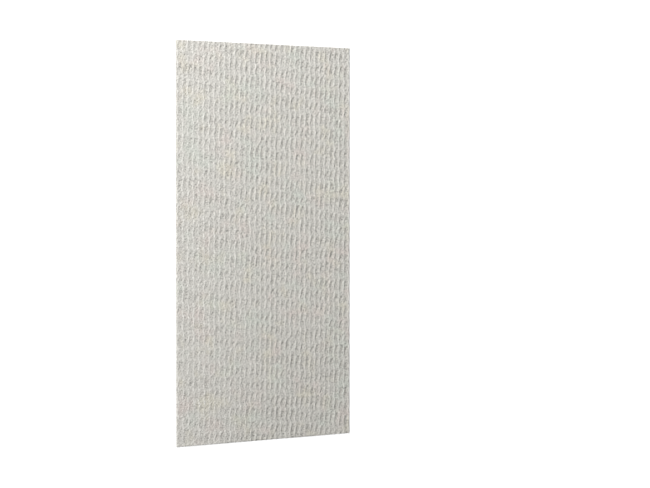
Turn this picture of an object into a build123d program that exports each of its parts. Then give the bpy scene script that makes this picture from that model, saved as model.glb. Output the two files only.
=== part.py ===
from build123d import *
import os
from math import ceil, pi, sin

# A flexible stone veneer panel: one thin moulded sheet with a hand-tooled stone face.
# It lies on its back, face up. Its flutes run along Y, and the origin is the middle of the back.

# The sheet, in millimetres
panel_width = 600.0
panel_length = 1200.0
panel_thickness = 4.0  # from the back to the ridges between the flutes

# The shallow flutes, side by side over the whole face
flute_pitch = 17.4  # ridge to ridge
flute_depth = 0.8  # below the ridges

# The chisel bites, one after another along each flute
row_pitch = 41.4  # from one row of bites to the next
bite_length = 34.0  # from the deep end to the point where the chisel runs out
bite_depth = 1.8  # below the ridges, at the deep end
bite_width = 15.0  # of the chisel's vee, level with the ridges

# The rows are set by hand, so they are a little uneven
row_wave = 8.0  # how far a row's slow wave swings to either side
row_wave_length = 260.0  # across the panel
row_wave_lag = 2.4  # radians by which each row's wave trails the row before it
row_ripple = 6.0  # how far a row's quick ripple swings to either side
row_ripple_length = 97.0  # across the panel
row_ripple_lag = 4.1  # radians by which each row's ripple trails the row before it
bite_scatter = 6.0  # from the earliest start of a bite to the latest
scatter_step = 0.618  # spreads the early and late bites evenly over the face

# The cutters reach this far past the surfaces that they cut
tool_clearance = 1.0

flute_count = ceil(panel_width / flute_pitch) + 1  # past both long edges
row_count = ceil((panel_length + bite_length) / row_pitch) + 2  # past both short edges


def flute_x(flute):
    """The middle of a flute, across the panel."""
    return (flute - (flute_count - 1) / 2) * flute_pitch


def bite_y(flute, row):
    """Where a bite has its deep end, along the panel."""
    straight = (row - (row_count - 1) / 2) * row_pitch + bite_length / 2
    wave = row_wave * sin(2 * pi * flute_x(flute) / row_wave_length + row * row_wave_lag)
    ripple = row_ripple * sin(2 * pi * flute_x(flute) / row_ripple_length + row * row_ripple_lag)
    share = (flute * scatter_step + row * scatter_step**2) % 1
    return straight + wave + ripple + bite_scatter * (share - 0.5)


def make_blank():
    """The plain sheet, thick enough for the flutes to be cut all over its face."""
    thickness = panel_thickness + tool_clearance
    return Box(panel_width, panel_length, thickness, align=(Align.CENTER, Align.CENTER, Align.MIN))


def make_flute_cutter():
    """Everything above the fluted face, along the whole panel."""
    line = [(flute_x(0) - flute_pitch / 2, panel_thickness)]
    for flute in range(flute_count):
        line.append((flute_x(flute), panel_thickness - flute_depth))
        line.append((flute_x(flute) + flute_pitch / 2, panel_thickness))
    above = panel_thickness + 2 * tool_clearance
    line += [(line[-1][0], above), (line[0][0], above)]
    section = Plane.XZ * make_face(Polyline(line, close=True))
    return extrude(section, amount=panel_length / 2 + tool_clearance, both=True)


def make_bite():
    """The chisel's path for one bite: deep at Y = 0, and rising out of the flute towards -Y."""
    tip = (0, panel_thickness - bite_depth)
    right = (bite_width / 2, panel_thickness)
    left = (-bite_width / 2, panel_thickness)
    vee = Plane.XZ * make_face(Polyline(tip, right, left, close=True))
    run = Vector(0, -bite_length, bite_depth - flute_depth)
    return extrude(vee, amount=run.length + tool_clearance, dir=run.normalized())


def make_panel():
    """The sheet with its flutes and its bites."""
    bite = make_bite()
    bites = []
    for row in range(row_count):
        for flute in range(flute_count):
            bites.append(Pos(flute_x(flute), bite_y(flute, row), 0) * bite)
    return make_blank() - make_flute_cutter() - bites


os.makedirs("parts", exist_ok=True)
export_step(make_panel(), "parts/veneer_panel.step")
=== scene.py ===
import math

import bmesh
import bpy
from mathutils import Matrix, Vector


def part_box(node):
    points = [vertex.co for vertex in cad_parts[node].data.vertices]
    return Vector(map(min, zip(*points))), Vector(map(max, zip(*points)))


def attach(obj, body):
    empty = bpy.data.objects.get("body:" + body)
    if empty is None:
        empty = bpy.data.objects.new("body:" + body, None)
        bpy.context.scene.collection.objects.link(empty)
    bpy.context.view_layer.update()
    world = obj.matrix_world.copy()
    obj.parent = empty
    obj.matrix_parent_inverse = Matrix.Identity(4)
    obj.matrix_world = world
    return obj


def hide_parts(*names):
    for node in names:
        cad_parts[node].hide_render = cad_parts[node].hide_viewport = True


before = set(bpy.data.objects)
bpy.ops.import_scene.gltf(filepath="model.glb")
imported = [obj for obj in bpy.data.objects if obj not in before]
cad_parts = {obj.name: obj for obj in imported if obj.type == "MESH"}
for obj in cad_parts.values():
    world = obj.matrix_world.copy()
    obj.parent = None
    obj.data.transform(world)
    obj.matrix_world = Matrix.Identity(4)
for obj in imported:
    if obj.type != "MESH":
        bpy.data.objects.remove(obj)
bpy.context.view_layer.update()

panelLow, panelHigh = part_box("veneer_panel")
mm = 0.001  # the scene is in metres


# Helpers for building node trees

class Term:
    # a value in a node tree, so that a formula reads as one
    def __init__(self, tree, socket):
        self.tree = tree
        self.socket = socket

    def do(self, operation, *others):
        return calc(self.tree, operation, self, *others)

    def __add__(self, other):
        return self.do("ADD", other)

    def __radd__(self, other):
        return self.do("ADD", other)

    def __sub__(self, other):
        return self.do("SUBTRACT", other)

    def __rsub__(self, other):
        return calc(self.tree, "SUBTRACT", other, self)

    def __mul__(self, other):
        return self.do("MULTIPLY", other)

    def __truediv__(self, other):
        return self.do("DIVIDE", other)

    def __rtruediv__(self, other):
        return calc(self.tree, "DIVIDE", other, self)

    def __pow__(self, other):
        return self.do("POWER", other)

    def size(self):
        return self.do("ABSOLUTE")

    def atLeast(self, other):
        return self.do("MAXIMUM", other)

    def atMost(self, other):
        return self.do("MINIMUM", other)


def feed(tree, socket, value):
    if isinstance(value, Term):
        value = value.socket
    if isinstance(value, bpy.types.NodeSocket):
        tree.links.new(value, socket)
    else:
        socket.default_value = value


def addNode(tree, kind, inputs=None, **settings):
    node = tree.nodes.new(kind)
    for name, value in settings.items():
        setattr(node, name, value)
    for name, value in (inputs or {}).items():
        feed(tree, node.inputs[name], value)
    return node


def calc(tree, operation, *values):
    node = addNode(tree, "ShaderNodeMath", operation=operation)
    for socket, value in zip(node.inputs, values):
        feed(tree, socket, value)
    return Term(tree, node.outputs[0])


def vector(tree, x, y, z):
    return addNode(tree, "ShaderNodeCombineXYZ", {"X": x, "Y": y, "Z": z}).outputs[0]


def noise(tree, place, grain, detail=2.0):
    # lumps about as wide as the grain, from 0 to 1 but mostly between 0.3 and 0.7
    inputs = {"Vector": place, "Scale": 1 / grain, "Detail": detail}
    return Term(tree, addNode(tree, "ShaderNodeTexNoise", inputs).outputs[0])


def ramp(tree, value, start, end, low=0.0, high=1.0, smooth=True):
    inputs = {"Value": value, "From Min": start, "From Max": end, "To Min": low, "To Max": high}
    node = addNode(tree, "ShaderNodeMapRange", inputs)
    node.interpolation_type = "SMOOTHSTEP" if smooth else "LINEAR"
    return Term(tree, node.outputs[0])


def mixColor(tree, share, first, second, blend="MIX"):
    node = addNode(tree, "ShaderNodeMix", data_type="RGBA", blend_type=blend)
    feed(tree, node.inputs[0], share)
    feed(tree, node.inputs[6], first)
    feed(tree, node.inputs[7], second)
    return node.outputs[2]


# Shader groups that the stone materials share

def newGroup(name, inputs, outputs):
    group = bpy.data.node_groups.new(name, "ShaderNodeTree")
    for title, kind in inputs:
        group.interface.new_socket(title, in_out="INPUT", socket_type=kind)
    for title, kind in outputs:
        group.interface.new_socket(title, in_out="OUTPUT", socket_type=kind)
    source = group.nodes.new("NodeGroupInput")
    target = group.nodes.new("NodeGroupOutput")
    return group, source, target


sand = {
    "lumps": 4.5 * mm,
    "lumpShare": 0.5,  # of the height, and the three shares add up to 1
    "coarse": 2.0 * mm,
    "coarseShare": 0.32,
    "fine": 0.8 * mm,
    "fineShare": 0.18,
    "pits": 4.0 * mm,
    "pitDepth": 0.12,  # as a share of the height
    "pitShade": 0.25,  # as a share of the tone, a painted shade in the pits
}


def makeSandGrain():
    # fine sand in the cast face: a tone to multiply the colour by, with painted shade in its pits, and a
    # height for bump
    inputs = [("Amount", "NodeSocketFloat")]
    outputs = [("Tone", "NodeSocketFloat"), ("Height", "NodeSocketFloat")]
    group, source, target = newGroup("sandGrain", inputs, outputs)
    place = group.nodes.new("ShaderNodeTexCoord").outputs["Object"]
    amount = Term(group, source.outputs["Amount"])
    lumps = noise(group, place, sand["lumps"]) * sand["lumpShare"]
    coarse = noise(group, place, sand["coarse"]) * sand["coarseShare"]
    fine = noise(group, place, sand["fine"]) * sand["fineShare"]
    grain = lumps + coarse + fine
    pits = ramp(group, noise(group, place, sand["pits"]), 0.5, 0.66)
    feed(group, target.inputs["Height"], grain - pits * sand["pitDepth"])
    # the pits are darkened as painted shade
    feed(group, target.inputs["Tone"], 1 + (grain - 0.5 - pits * sand["pitShade"]) * amount)
    return group


# the shift moves each tint's blotches away from those of the others
mottleTints = {
    "pink": {"color": (0.66, 0.58, 0.54, 1), "blotch": 85 * mm, "shift": 0.0},
    "yellow": {"color": (0.655, 0.62, 0.51, 1), "blotch": 70 * mm, "shift": 3.1},
    "green": {"color": (0.585, 0.62, 0.56, 1), "blotch": 100 * mm, "shift": 6.4},
}


def makeMottle():
    # broad, faint blotches of pink, yellow and green over the grey
    inputs = [("Color", "NodeSocketColor"), ("Amount", "NodeSocketFloat")]
    outputs = [("Color", "NodeSocketColor")]
    group, source, target = newGroup("mottle", inputs, outputs)
    place = group.nodes.new("ShaderNodeTexCoord").outputs["Object"]
    color = source.outputs["Color"]
    amount = Term(group, source.outputs["Amount"])
    for tint in mottleTints.values():
        moved = addNode(group, "ShaderNodeVectorMath", operation="ADD")
        feed(group, moved.inputs[0], place)
        feed(group, moved.inputs[1], (tint["shift"], tint["shift"], 0))
        share = ramp(group, noise(group, moved.outputs[0], tint["blotch"]), 0.5, 0.72) * amount
        color = mixColor(group, share, color, tint["color"])
    feed(group, target.inputs["Color"], color)
    return group


sandGrain = makeSandGrain()
mottle = makeMottle()
print("stage: shader groups made")


def newMaterial(name):
    material = bpy.data.materials.new(name)
    material.use_nodes = True
    tree = material.node_tree
    return material, tree, tree.nodes["Principled BSDF"]


def placeGroup(tree, group, **inputs):
    node = tree.nodes.new("ShaderNodeGroup")
    node.node_tree = group
    for name, value in inputs.items():
        feed(tree, node.inputs[name], value)
    return node


def readAttribute(tree, name):
    return Term(tree, addNode(tree, "ShaderNodeAttribute", attribute_name=name).outputs["Fac"])


def readPlace(tree):
    split = addNode(tree, "ShaderNodeSeparateXYZ")
    feed(tree, split.inputs[0], tree.nodes.new("ShaderNodeTexCoord").outputs["Object"])
    return Term(tree, split.outputs["X"]), Term(tree, split.outputs["Y"])


def dressStone(tree, shader, finish, color, grain, height):
    # lays the sand over the colour, and sets the bump and the matt surface
    tone = vector(tree, *[grain.outputs["Tone"]] * 3)
    feed(tree, shader.inputs["Base Color"], mixColor(tree, 1.0, color, tone, "MULTIPLY"))
    bump = addNode(tree, "ShaderNodeBump", {"Height": height, "Distance": finish["bumpHeight"]})
    feed(tree, shader.inputs["Normal"], bump.outputs["Normal"])
    shader.inputs["Roughness"].default_value = finish["roughness"]
    shader.inputs["Specular IOR Level"].default_value = finish["specular"]


stoneFinish = {
    "color": (0.614, 0.599, 0.559, 1),  # of the bare face
    "ridge": (0.77, 0.755, 0.71, 1),  # worn pale on what stands proud, and partly a painted highlight on those ridges
    "groove": (0.545, 0.53, 0.49, 1),  # dust at the bottom of the bites, and painted shade there
    "ridgeWearAndHighlight": (0.28, 0.04),  # shares of the depth at which the ridge's colour starts and is full
    "grooveDustAndShade": (0.4, 0.9),  # the same for the groove's
    "mottle": 0.55,
    "grain": 1.65,
    "bruised": (0.2, 0.6),  # the same for the grain, which the chisel lays bare
    "unbruised": 0.6,  # share of the grain on the ridges
    "bumpHeight": 2.5 * mm,
    "fleck": 9.0 * mm,  # soft dents, leaning as the strokes do
    "fleckDepth": 0.2,  # as a share of the bump's height
    "fleckInside": 0.6,  # share of that depth in the middle of a bite
    "roughness": 0.92,
    "specular": 0.25,
}


def makeStoneFace():
    material, tree, shader = newMaterial("tooledStone")
    hollow = readAttribute(tree, "hollow")
    rowEnd = readAttribute(tree, "rowEnd")
    across, along = readPlace(tree)
    bruised = ramp(tree, hollow, *stoneFinish["bruised"], stoneFinish["unbruised"], 1.0)
    grain = placeGroup(tree, sandGrain, Amount=bruised * stoneFinish["grain"])
    body = placeGroup(tree, mottle, Color=stoneFinish["color"], Amount=stoneFinish["mottle"])
    grooveDustAndShade = ramp(tree, hollow, *stoneFinish["grooveDustAndShade"])
    ridgeWearAndHighlight = ramp(tree, hollow, *stoneFinish["ridgeWearAndHighlight"])
    # darker with depth: dust, and painted shade in the hollows
    color = mixColor(tree, grooveDustAndShade, body.outputs["Color"], stoneFinish["groove"])
    # paler where the face stands proud: wear, and a painted highlight on the ridges
    color = mixColor(tree, ridgeWearAndHighlight, color, stoneFinish["ridge"])
    leaning = vector(tree, (across + along) * 0.5, across - along, 0.0)  # drawn out along a slant
    flecks = ramp(tree, noise(tree, leaning, stoneFinish["fleck"], 0.0), 0.3, 0.7)
    inside = stoneFinish["fleckInside"]
    flecks = flecks * (rowEnd * (1 - inside) + inside)
    height = Term(tree, grain.outputs["Height"]) * bruised - flecks * stoneFinish["fleckDepth"]
    dressStone(tree, shader, stoneFinish, color, grain, height)
    return material


edgeFinish = {
    "color": (0.37, 0.37, 0.365, 1),
    "grain": 0.45,
    "bumpHeight": 0.4 * mm,
    "roughness": 0.95,
    "specular": 0.25,
}


def makeCutEdge():
    material, tree, shader = newMaterial("cutEdge")
    grain = placeGroup(tree, sandGrain, Amount=edgeFinish["grain"])
    dressStone(tree, shader, edgeFinish, edgeFinish["color"], grain, grain.outputs["Height"])
    return material


backFinish = {
    "color": (0.56, 0.55, 0.515, 1),
    "mottle": 0.3,
    "grain": 0.25,
    "weavePitch": 4.0 * mm,  # of the mesh that the back was pressed into
    "weaveShare": 0.5,  # of the bump's height
    "bumpHeight": 0.15 * mm,
    "roughness": 0.9,
    "specular": 0.25,
}


def makeBack():
    material, tree, shader = newMaterial("meshMarkedBack")
    across, along = readPlace(tree)
    turn = 2 * math.pi / backFinish["weavePitch"]
    weave = (across * turn).do("SINE").atLeast((along * turn).do("SINE"))
    grain = placeGroup(tree, sandGrain, Amount=backFinish["grain"])
    body = placeGroup(tree, mottle, Color=backFinish["color"], Amount=backFinish["mottle"])
    height = weave * backFinish["weaveShare"] + Term(tree, grain.outputs["Height"])
    dressStone(tree, shader, backFinish, body.outputs["Color"], grain, height)
    return material


stoneFace = makeStoneFace()
cutEdge = makeCutEdge()
backFace = makeBack()
print("stage: materials made")


# The tooled face: flutes side by side, each with one chisel bite after another

flutePitch = 17.4 * mm
rowPitch = 41.4 * mm
biteLength = 34.0 * mm

tooling = {
    "Flutes": math.ceil((panelHigh.x - panelLow.x) / flutePitch) + 1,  # past both long edges
    "Rows": math.ceil((panelHigh.y - panelLow.y + biteLength) / rowPitch) + 2,  # past both short edges
    "Cells Across": 8,  # of the mesh, in a flute
    "Cells Along": 11,  # of the mesh, in a bite
    "Cell Crowding": 1.25,  # a higher one moves the cells towards the deep ends
    "Flute Pitch": flutePitch,
    "Flute Depth": 1.0 * mm,
    "Row Pitch": rowPitch,
    "Bite Length": biteLength,
    "Bite Depth": 1.0 * mm,  # below the flute
    "Weakest Bite": 0.6,  # shares of that depth, from bite to bite
    "Strongest Bite": 1.2,
    "Steepest Start": 0.06,  # shares of a row in which a bite gets to its depth
    "Slowest Start": 0.28,
    "Shortest Run": 0.75,  # shares of a row after which a bite has run out
    "Longest Run": 1.1,
    "Full Until": 0.45,  # share of that run for which it stays at its depth
    "Patch Size": 140.0 * mm,  # of the stretches that were cut with a weaker or stronger hand
    "Weakest Patch": 0.85,
    "Strongest Patch": 1.1,
    "Row Slope": 0.12,  # how much a row drops from left to right
    "Row Wave": 6.0 * mm,
    "Wave Length": 260.0 * mm,
    "Wave Lag": 2.4,  # radians, from one row to the next
    "Row Ripple": 2.0 * mm,
    "Ripple Length": 97.0 * mm,
    "Ripple Lag": 4.1,
    "Scatter": 2.0 * mm,
    "Scatter Step": 0.618,
    "Row Drift": 32.0 * mm,
    "Drift Length": 130.0 * mm,
    "Rim Curve": 5.0 * mm,  # how far the deep end of a bite bows out
    "Rim Slant": 3.5 * mm,  # how far it leans to one side, from none to twice this
    "Lean": 3.3 * mm,  # of a bite, to one side and back along its length
    "Lean Turn": 1.6,  # a higher one puts the turn further down the bite
    "Section Power": 2.6,  # a higher one gives a flatter floor and thinner ridges
    "Ridge Jitter": 0.7 * mm,  # from one bite to the next
    "Wander": 0.7 * mm,  # of the ridges, to either side
    "Slow Wander": 120.0 * mm,
    "Quick Wander": 30.0 * mm,
    "Chip Depth": 0.6 * mm,  # off the ridges
    "Chip Size": 16.0 * mm,
    "Roughness": 2.0 * mm,
    "Rough Size": 7.0 * mm,
    "Rough Level": 0.33,  # noise above this digs in, and below it less is cut away
    "Clean Ridge": 0.9,  # share of the roughness kept off the ridges beside a bite
    "Gap Start": 0.72,  # share of a row from which a bite gives way to the next
    "Gap End": 0.3,  # share of the next row at which it has
    "End Fade": 0.35,  # share of the flutes' depth lost there
    "Light Hand": 0.5,  # share of the flutes' depth lost at the left edge, and the bites lose half of it
    "Light Skew": 0.1,  # how much further in that reaches towards the bottom
    "Calm": 0.3,  # share of the roughness lost at that edge
    "Least Left": 0.8 * mm,  # under the deepest cut
    "Seed": 7,
    "Top": panelHigh.z,
}


def makeToolingTree(material):
    tree = bpy.data.node_groups.new("tooledFace", "GeometryNodeTree")
    tree.is_modifier = True
    tree.interface.new_socket("Geometry", in_out="INPUT", socket_type="NodeSocketGeometry")
    tree.interface.new_socket("Geometry", in_out="OUTPUT", socket_type="NodeSocketGeometry")
    for name, value in tooling.items():
        kind = "NodeSocketInt" if isinstance(value, int) else "NodeSocketFloat"
        tree.interface.new_socket(name, in_out="INPUT", socket_type=kind)
    source = tree.nodes.new("NodeGroupInput")
    target = tree.nodes.new("NodeGroupOutput")

    def take(name):
        return Term(tree, source.outputs[name])

    def chance(low, high, which, draw):
        node = addNode(tree, "FunctionNodeRandomValue", data_type="FLOAT")
        feed(tree, node.inputs[2], low)
        feed(tree, node.inputs[3], high)
        feed(tree, node.inputs["ID"], which)
        feed(tree, node.inputs["Seed"], take("Seed") + draw)
        return Term(tree, node.outputs[1])

    driftSlice, slowSlice, quickSlice = 3.3, 0.7, 1.9  # so that no two noises are alike
    flutes, rows, pitch = take("Flutes"), take("Rows"), take("Flute Pitch")
    rowsCut = rows + 2  # one more at each end, because the rows slope
    inputs = {"Size X": flutes, "Size Y": rowsCut}
    inputs["Vertices X"] = flutes * take("Cells Across") + 1
    inputs["Vertices Y"] = rowsCut * take("Cells Along") + 1
    grid = addNode(tree, "GeometryNodeMeshGrid", inputs)

    # where a point is in its flute and its bite
    split = addNode(tree, "ShaderNodeSeparateXYZ")
    feed(tree, split.inputs[0], tree.nodes.new("GeometryNodeInputPosition").outputs[0])
    tiny = 0.001  # keeps the points on a ridge or a rim in one cell
    across = Term(tree, split.outputs["X"]) + flutes / 2 + tiny
    along = Term(tree, split.outputs["Y"]) + (rows - 1) / 2 - tiny
    flute = across.do("FLOOR")
    row = along.do("CEIL")
    share = across - flute - tiny
    cross = share - 0.5 - (share * math.pi).do("COSINE") / 2  # -1 and 1 on the ridges
    run = (row - along - tiny).atLeast(0) ** take("Cell Crowding")  # 0 at the deep end, 1 at the next row

    # its place on the panel
    x = (flute + 0.5 - flutes / 2 + cross / 2) * pitch

    def rim(row):
        # where the deep end of a bite is, along the panel
        level = (row - (rows - 1) / 2) * take("Row Pitch") + take("Bite Length") / 2
        waveTurn = x * (2 * math.pi) / take("Wave Length") + row * take("Wave Lag")
        wave = take("Row Wave") * waveTurn.do("SINE")
        rippleTurn = x * (2 * math.pi) / take("Ripple Length") + row * take("Ripple Lag")
        ripple = take("Row Ripple") * rippleTurn.do("SINE")
        place = vector(tree, x, row * take("Row Pitch"), driftSlice)
        drift = take("Row Drift") * (noise(tree, place, take("Drift Length"), 1.0) - 0.5)
        draw = (flute * take("Scatter Step") + row * take("Scatter Step") ** 2).do("FRACT")
        slant = take("Rim Slant") * chance(0.0, 2.0, flute + row * flutes, 5) * cross
        own = (take("Scatter") * (draw - 0.5) + slant) * (1 - cross ** 2)
        return level - take("Row Slope") * x + wave + ripple + drift + own

    here, below = rim(row), rim(row - 1)
    y = here + run * (below - here) - take("Rim Curve") * cross ** 2

    # how deep it is cut
    bite = flute + row * flutes
    flat = vector(tree, x, y, 0.0)
    patches = noise(tree, flat, take("Patch Size"))
    hand = ramp(tree, patches, 0.35, 0.65, take("Weakest Patch"), take("Strongest Patch"))
    strength = chance(take("Weakest Bite"), take("Strongest Bite"), bite, 1) * hand
    reach = chance(take("Shortest Run"), take("Longest Run"), bite, 2)
    rise = ramp(tree, run, 0.0, chance(take("Steepest Start"), take("Slowest Start"), bite, 4))
    fall = ramp(tree, run / reach, take("Full Until"), 1.0, 1.0, 0.0)
    rowEnd = ramp(tree, run, take("Gap End"), 0.0) + ramp(tree, run, take("Gap Start"), 1.0)
    section = 1 - cross.size() ** take("Section Power")
    groove = strength * rise * fall * section
    chip = ramp(tree, noise(tree, flat, take("Chip Size")), 0.48, 0.68) * cross.size() ** 4  # near ridges
    leaning = vector(tree, x - y * 0.55, y * 0.65, 0.0)  # drawn out along a slant
    ridge = cross.size() ** 5 * rise * fall
    rough = noise(tree, leaning, take("Rough Size")) - take("Rough Level")
    rough = rough * (1 - ridge * take("Clean Ridge"))
    leftSide = ramp(tree, x + y * take("Light Skew"), 0.0, panelLow.x, smooth=False)  # 1 at the left edge
    lost = take("Light Hand") * leftSide
    fluteCut = take("Flute Depth") * section * (1 - lost) * (1 - rowEnd * take("End Fade"))
    biteCut = take("Bite Depth") * groove * (1 - lost / 2)
    roughCut = take("Roughness") * rough * (1 - take("Calm") * leftSide)
    depth = (fluteCut + biteCut + take("Chip Depth") * chip + roughCut).atLeast(0)
    depth = depth.atMost(take("Top") - take("Least Left"))
    z = take("Top") - depth
    deepest = take("Flute Depth") + take("Bite Depth") + take("Roughness") * 0.4
    hollow = depth / deepest  # from 0 on an untouched ridge to about 1

    # the flutes wander a little
    slow = noise(tree, vector(tree, x, y, slowSlice), take("Slow Wander"), 1.0) - 0.5
    quick = noise(tree, vector(tree, x, y, quickSlice), take("Quick Wander"), 1.0) - 0.5
    ridgeAndRow = (across + 0.5).do("FLOOR") + row * (flutes + 1)
    jitter = chance(-1.0, 1.0, ridgeAndRow, 3) * cross ** 2 * (run * math.pi).do("SINE")
    lean = take("Lean") / 2 * (run ** take("Lean Turn") * (2 * math.pi)).do("COSINE")
    x = x + take("Wander") * 2 * (slow + quick) + take("Ridge Jitter") * jitter + lean

    # what the material reads is stored first, because these formulas read the points of the flat grid
    face = grid.outputs["Mesh"]
    for name, value in {"hollow": hollow, "rowEnd": rowEnd}.items():
        stored = addNode(tree, "GeometryNodeStoreNamedAttribute", {"Geometry": face, "Name": name})
        stored.data_type = "FLOAT"
        stored.domain = "POINT"
        feed(tree, stored.inputs["Value"], value)
        face = stored.outputs[0]
    moved = addNode(tree, "GeometryNodeSetPosition", {"Geometry": face})
    feed(tree, moved.inputs["Position"], vector(tree, x, y, z))
    smooth = addNode(tree, "GeometryNodeSetShadeSmooth", {"Geometry": moved.outputs[0]})
    whole = addNode(tree, "GeometryNodeRealizeInstances", {"Geometry": smooth.outputs[0]})
    dressed = addNode(tree, "GeometryNodeSetMaterial", {"Geometry": whole.outputs[0]})
    dressed.inputs["Material"].default_value = material
    tree.links.new(dressed.outputs[0], target.inputs[0])
    return tree


def growFace(tree):
    holder = bpy.data.objects.new("faceHolder", bpy.data.meshes.new("faceHolder"))
    bpy.context.scene.collection.objects.link(holder)
    modifier = holder.modifiers.new("tooledFace", "NODES")
    modifier.node_group = tree
    for socket in tree.interface.items_tree:
        if socket.in_out == "INPUT" and socket.name in tooling:
            modifier[socket.identifier] = tooling[socket.name]
    depsgraph = bpy.context.evaluated_depsgraph_get()
    mesh = bpy.data.meshes.new_from_object(holder.evaluated_get(depsgraph))
    holder.modifiers.remove(modifier)
    bpy.data.objects.remove(holder)
    return mesh


def trimSheet(mesh):
    # cuts the tooled face to the panel's size and closes it with its edges and its back
    weld = 0.001 * mm
    sheet = bmesh.new()
    sheet.from_mesh(mesh)
    sides = [
        (panelLow, Vector((-1, 0, 0))),
        (panelHigh, Vector((1, 0, 0))),
        (panelLow, Vector((0, -1, 0))),
        (panelHigh, Vector((0, 1, 0))),
    ]
    for place, outward in sides:
        parts = sheet.verts[:] + sheet.edges[:] + sheet.faces[:]
        bmesh.ops.bisect_plane(
            sheet, geom=parts, dist=weld, plane_co=place, plane_no=outward, clear_outer=True
        )
    bmesh.ops.remove_doubles(sheet, verts=sheet.verts[:], dist=weld)
    border = [edge for edge in sheet.edges if edge.is_boundary]
    walls = bmesh.ops.extrude_edge_only(sheet, edges=border)["geom"]
    for part in walls:
        if isinstance(part, bmesh.types.BMVert):
            part.co.z = panelLow.z
        if isinstance(part, bmesh.types.BMFace):
            part.material_index = 1
            part.smooth = False
    border = [edge for edge in sheet.edges if edge.is_boundary]
    back = bmesh.ops.contextual_create(sheet, geom=border)["faces"]
    for part in back:
        part.material_index = 2
        part.smooth = False
    bmesh.ops.recalc_face_normals(sheet, faces=sheet.faces[:])
    openEdges = sum(not edge.is_manifold for edge in sheet.edges)
    print("stage: sheet trimmed, open edges", openEdges, "back faces", len(back))
    sheet.to_mesh(mesh)
    sheet.free()


panelMesh = growFace(makeToolingTree(stoneFace))
print("stage: face grown, faces", len(panelMesh.polygons))
trimSheet(panelMesh)
panelMesh.name = "tooled_panel"
panelMesh.materials.append(cutEdge)
panelMesh.materials.append(backFace)
panel = bpy.data.objects.new("tooled_panel", panelMesh)
bpy.context.scene.collection.objects.link(panel)
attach(panel, "root")
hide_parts("veneer_panel")
panelMesh.calc_loop_triangles()
print("stage: panel made, triangles", len(panelMesh.loop_triangles))


# Floor, light and camera

studio = {
    "floorSize": 30.0,
    "floorGap": 0.1 * mm,  # under the panel
    "floorColor": (0.55, 0.55, 0.55, 1),
    "floorLift": 0.68,  # brings the lit floor up to white where it is seen directly
    "backGlow": 2.0 * mm,  # what lies this close to the floor gets light up through it
    "skyStrength": 0.3,
    "lampPlace": Vector((-4.95, 2.925, 3.6)),
    "lampAim": Vector((0, 5.5, 0)),  # past the top, so the light falls off down the panel
    "lampSize": 1.5,
    "lampPower": 902.0,
}


def seenDirectly(tree):
    # 1 where the eye, a reflection or glass looks straight at it
    path = tree.nodes.new("ShaderNodeLightPath")
    direct = Term(tree, path.outputs["Is Camera Ray"])
    mirrored = Term(tree, path.outputs["Is Glossy Ray"])
    through = Term(tree, path.outputs["Is Transmission Ray"])
    return direct.atLeast(mirrored).atLeast(through)


def makeFloor():
    material, tree, shader = newMaterial("whiteFloor")
    shader.inputs["Base Color"].default_value = studio["floorColor"]
    shader.inputs["Roughness"].default_value = 1.0
    shader.inputs["Specular IOR Level"].default_value = 0.0
    shader.inputs["Emission Color"].default_value = (1, 1, 1, 1)
    feed(tree, shader.inputs["Emission Strength"], seenDirectly(tree) * studio["floorLift"])
    clear = tree.nodes.new("ShaderNodeBsdfTransparent")
    behind = Term(tree, tree.nodes.new("ShaderNodeNewGeometry").outputs["Backfacing"])
    travelled = Term(tree, tree.nodes.new("ShaderNodeLightPath").outputs["Ray Length"])
    clearShare = behind.atLeast(travelled.do("LESS_THAN", studio["backGlow"]))
    inputs = {0: clearShare, 1: shader.outputs[0], 2: clear.outputs[0]}
    sides = addNode(tree, "ShaderNodeMixShader", inputs)
    feed(tree, tree.nodes["Material Output"].inputs["Surface"], sides.outputs[0])
    half = studio["floorSize"] / 2
    corners = [(-half, -half, 0), (half, -half, 0), (half, half, 0), (-half, half, 0)]
    mesh = bpy.data.meshes.new("floor")
    mesh.from_pydata(corners, [], [(0, 1, 2, 3)])
    mesh.transform(Matrix.Translation((0, 0, panelLow.z - studio["floorGap"])))
    mesh.materials.append(material)
    floor = bpy.data.objects.new("floor", mesh)
    bpy.context.scene.collection.objects.link(floor)


def makeSky():
    world = bpy.data.worlds.new("sky")
    world.use_nodes = True
    tree = world.node_tree
    seen = seenDirectly(tree)
    background = tree.nodes["Background"]
    background.inputs["Color"].default_value = (1, 1, 1, 1)
    strength = seen * (1 - studio["skyStrength"]) + studio["skyStrength"]
    feed(tree, background.inputs["Strength"], strength)
    bpy.context.scene.world = world


def makeLamp():
    lamp = bpy.data.lights.new("keyLamp", "AREA")
    lamp.size = studio["lampSize"]
    lamp.energy = studio["lampPower"]
    holder = bpy.data.objects.new("keyLamp", lamp)
    holder.location = studio["lampPlace"]
    holder.rotation_mode = "QUATERNION"
    holder.rotation_quaternion = (studio["lampAim"] - studio["lampPlace"]).to_track_quat("-Z", "Y")
    bpy.context.scene.collection.objects.link(holder)


eye = {
    "place": Vector((-2.605, 0.150, 4.691)),
    "turn": math.radians(30.99),  # from straight above, towards the left long edge
    "tilt": math.radians(1.65),  # down the panel
    "lens": 98.0,
}


def makeCamera():
    camera = bpy.data.cameras.new("eye")
    camera.lens = eye["lens"]
    look = Vector((
        math.sin(eye["turn"]) * math.cos(eye["tilt"]),
        -math.sin(eye["tilt"]),
        -math.cos(eye["turn"]) * math.cos(eye["tilt"]),
    ))
    right = look.cross(Vector((0, 1, 0))).normalized()
    up = right.cross(look)
    holder = bpy.data.objects.new("eye", camera)
    turned = Matrix((right, up, -look)).transposed().to_4x4()
    holder.matrix_world = Matrix.Translation(eye["place"]) @ turned
    bpy.context.scene.collection.objects.link(holder)
    bpy.context.scene.camera = holder


makeFloor()
makeSky()
makeLamp()
makeCamera()
bpy.context.scene.view_settings.view_transform = "Standard"
print("stage: floor, light and camera made")
